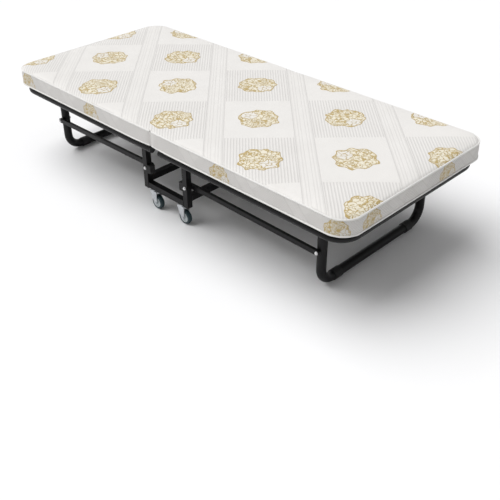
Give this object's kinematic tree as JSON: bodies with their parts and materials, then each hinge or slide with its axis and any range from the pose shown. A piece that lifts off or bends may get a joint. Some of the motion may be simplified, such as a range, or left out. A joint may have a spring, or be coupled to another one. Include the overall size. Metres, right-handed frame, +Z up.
{
  "type": "folding cot",
  "caption": "Folding rollaway cot: two hinged half frames with decks and a mattress on a swivel-caster carriage, with bent-tube legs that stay upright on parallel links.",
  "frame": {"origin": "on the floor under the middle of the open bed", "axes": "+X along the bed, +Y across it, +Z up"},
  "size_m": [1.9, 0.84, 0.402],
  "materials": {
    "frame_paint": "semi-gloss black powder coat",
    "mattress_cover": "off-white knitted cover with a woven gold floral motif",
    "deck_board": "grey painted board, matt",
    "bright_bolts": "bright zinc plate",
    "black_rubber": "matt",
    "black_plastic": "moulded, matt",
    "caster_steel": "zinc plated pressed steel",
    "caster_hub": "pale grey moulded plastic",
    "caster_tyre": "dark blue-grey rubber tread"
  },
  "bodies": {
    "carriage": {"post_left_front": "frame_paint", "post_left_rear": "frame_paint", "post_right_front": "frame_paint", "post_right_rear": "frame_paint", "side_rails": "frame_paint", "cross_rails": "frame_paint", "post_plugs": "black_plastic", "fold_stops": "black_rubber", "frame_pivot_bolts": "bright_bolts", "link_pivot_bolts": "bright_bolts", "link_spacers": "bright_bolts", "caster_plates": "caster_steel", "caster_king_pins": "caster_steel"},
    "frame_left": {"frame_tube_left": "frame_paint", "crossbars_left": "frame_paint", "deck_left": "deck_board", "deck_screws_left": "bright_bolts", "tube_plugs_left": "black_plastic", "hinge_lugs_left": "frame_paint", "leg_brackets_left": "frame_paint", "leg_pivot_bolts_left": "bright_bolts", "mattress_left": "mattress_cover"},
    "leg_left": {"leg_tube_left": "frame_paint", "leg_feet_left": "black_rubber", "leg_link_bolts_left": "bright_bolts"},
    "links_left": {"link_left_front": "frame_paint", "link_left_rear": "frame_paint"},
    "frame_right": {"frame_tube_right": "frame_paint", "crossbars_right": "frame_paint", "deck_right": "deck_board", "deck_screws_right": "bright_bolts", "tube_plugs_right": "black_plastic", "hinge_lugs_right": "frame_paint", "leg_brackets_right": "frame_paint", "leg_pivot_bolts_right": "bright_bolts", "mattress_right": "mattress_cover"},
    "leg_right": {"leg_tube_right": "frame_paint", "leg_feet_right": "black_rubber", "leg_link_bolts_right": "bright_bolts"},
    "links_right": {"link_right_front": "frame_paint", "link_right_rear": "frame_paint"},
    "caster_swivel_left_front": {"caster_fork_left_front": "caster_steel", "caster_axle_left_front": "caster_steel"},
    "caster_wheel_left_front": {"caster_hub_left_front": "caster_hub", "caster_tyre_left_front": "caster_tyre"},
    "caster_swivel_left_rear": {"caster_fork_left_rear": "caster_steel", "caster_axle_left_rear": "caster_steel"},
    "caster_wheel_left_rear": {"caster_hub_left_rear": "caster_hub", "caster_tyre_left_rear": "caster_tyre"},
    "caster_swivel_right_front": {"caster_fork_right_front": "caster_steel", "caster_axle_right_front": "caster_steel"},
    "caster_wheel_right_front": {"caster_hub_right_front": "caster_hub", "caster_tyre_right_front": "caster_tyre"},
    "caster_swivel_right_rear": {"caster_fork_right_rear": "caster_steel", "caster_axle_right_rear": "caster_steel"},
    "caster_wheel_right_rear": {"caster_hub_right_rear": "caster_hub", "caster_tyre_right_rear": "caster_tyre"}
  },
  "joints": [
    {"name": "fold_left", "type": "hinge", "parent": "carriage", "child": "frame_left", "pos_m": [-0.12, 0, 0.2835], "axis": [0, 1, 0], "range_deg": [0, 90]},
    {"name": "leg_turn_left", "type": "hinge", "parent": "frame_left", "child": "leg_left", "pos_m": [-0.765, 0, 0.275], "axis": [0, -1, 0], "range_deg": [0, 90]},
    {"name": "link_turn_left", "type": "hinge", "parent": "carriage", "child": "links_left", "pos_m": [-0.12, 0, 0.1695], "axis": [0, 1, 0], "range_deg": [0, 90]},
    {"name": "fold_right", "type": "hinge", "parent": "carriage", "child": "frame_right", "pos_m": [0.12, 0, 0.2835], "axis": [0, -1, 0], "range_deg": [0, 90]},
    {"name": "leg_turn_right", "type": "hinge", "parent": "frame_right", "child": "leg_right", "pos_m": [0.765, 0, 0.275], "axis": [0, 1, 0], "range_deg": [0, 90]},
    {"name": "link_turn_right", "type": "hinge", "parent": "carriage", "child": "links_right", "pos_m": [0.12, 0, 0.1695], "axis": [0, -1, 0], "range_deg": [0, 90]},
    {"name": "caster_swivel_left_front", "type": "hinge", "parent": "carriage", "child": "caster_swivel_left_front", "pos_m": [-0.084, -0.3455, 0.078], "axis": [0, 0, 1], "continuous": true},
    {"name": "caster_roll_left_front", "type": "hinge", "parent": "caster_swivel_left_front", "child": "caster_wheel_left_front", "pos_m": [-0.066, -0.3455, 0.03], "axis": [0, 1, 0], "continuous": true},
    {"name": "caster_swivel_left_rear", "type": "hinge", "parent": "carriage", "child": "caster_swivel_left_rear", "pos_m": [-0.084, 0.3455, 0.078], "axis": [0, 0, 1], "continuous": true},
    {"name": "caster_roll_left_rear", "type": "hinge", "parent": "caster_swivel_left_rear", "child": "caster_wheel_left_rear", "pos_m": [-0.066, 0.3455, 0.03], "axis": [0, 1, 0], "continuous": true},
    {"name": "caster_swivel_right_front", "type": "hinge", "parent": "carriage", "child": "caster_swivel_right_front", "pos_m": [0.084, -0.3455, 0.078], "axis": [0, 0, 1], "continuous": true},
    {"name": "caster_roll_right_front", "type": "hinge", "parent": "caster_swivel_right_front", "child": "caster_wheel_right_front", "pos_m": [0.102, -0.3455, 0.03], "axis": [0, 1, 0], "continuous": true},
    {"name": "caster_swivel_right_rear", "type": "hinge", "parent": "carriage", "child": "caster_swivel_right_rear", "pos_m": [0.084, 0.3455, 0.078], "axis": [0, 0, 1], "continuous": true},
    {"name": "caster_roll_right_rear", "type": "hinge", "parent": "caster_swivel_right_rear", "child": "caster_wheel_right_rear", "pos_m": [0.102, 0.3455, 0.03], "axis": [0, 1, 0], "continuous": true}
  ],
  "couplings": [
    {"joint": "leg_turn_left", "follows": "fold_left", "ratio": 1},
    {"joint": "link_turn_left", "follows": "fold_left", "ratio": 1},
    {"joint": "leg_turn_right", "follows": "fold_right", "ratio": 1},
    {"joint": "link_turn_right", "follows": "fold_right", "ratio": 1}
  ]
}
